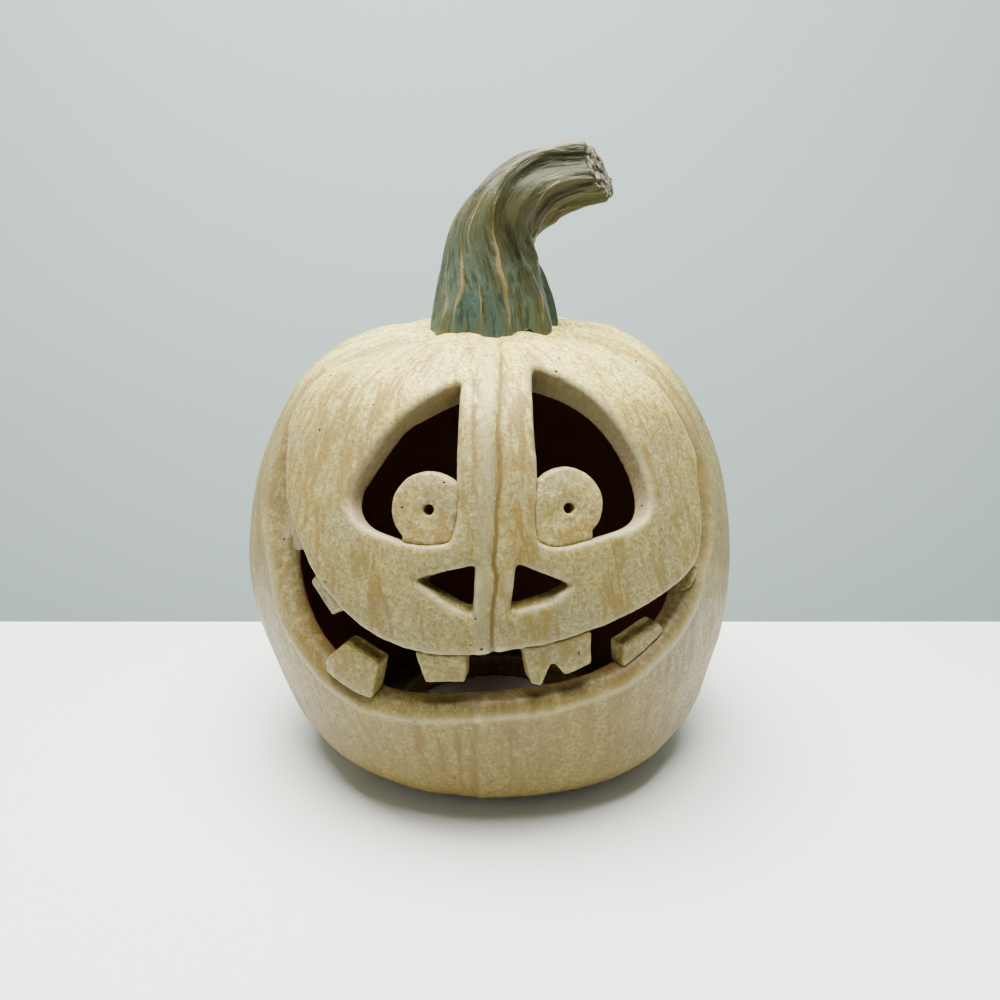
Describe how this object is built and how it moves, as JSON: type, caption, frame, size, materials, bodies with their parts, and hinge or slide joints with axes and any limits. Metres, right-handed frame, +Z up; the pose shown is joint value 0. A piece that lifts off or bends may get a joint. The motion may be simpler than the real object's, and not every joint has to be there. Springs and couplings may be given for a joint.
{
  "type": "ceramic pumpkin lantern",
  "caption": "Hollow stoneware jack-o'-lantern pumpkin with a carved grin, applied eye discs and slab teeth, an open base and a bent ribbed stem in green glaze.",
  "frame": {"origin": "on the resting plane, under the middle of the body", "axes": "+Z up through the crown, -Y the carved front, +X the viewer's right when facing the front"},
  "size_m": [0.1885, 0.1894, 0.2358],
  "materials": {
    "stoneware": "satin cream slip brushed with ochre, dark brown inside",
    "eye_slabs": "satin cream slip",
    "tooth_slabs": "satin cream slip",
    "stem_glaze": "glossy grey-green glaze breaking tan over the ribs, bare rough tip"
  },
  "bodies": {
    "root": {"body_shell": "stoneware", "stem": "stem_glaze", "left_eye": "eye_slabs", "right_eye": "eye_slabs", "upper_left_corner_tooth": "tooth_slabs", "upper_left_side_tooth": "tooth_slabs", "upper_left_front_tooth": "tooth_slabs", "upper_right_front_tooth": "tooth_slabs", "lower_left_tooth": "tooth_slabs", "lower_right_tooth": "tooth_slabs", "lower_right_corner_tooth": "tooth_slabs"}
  },
  "joints": []
}
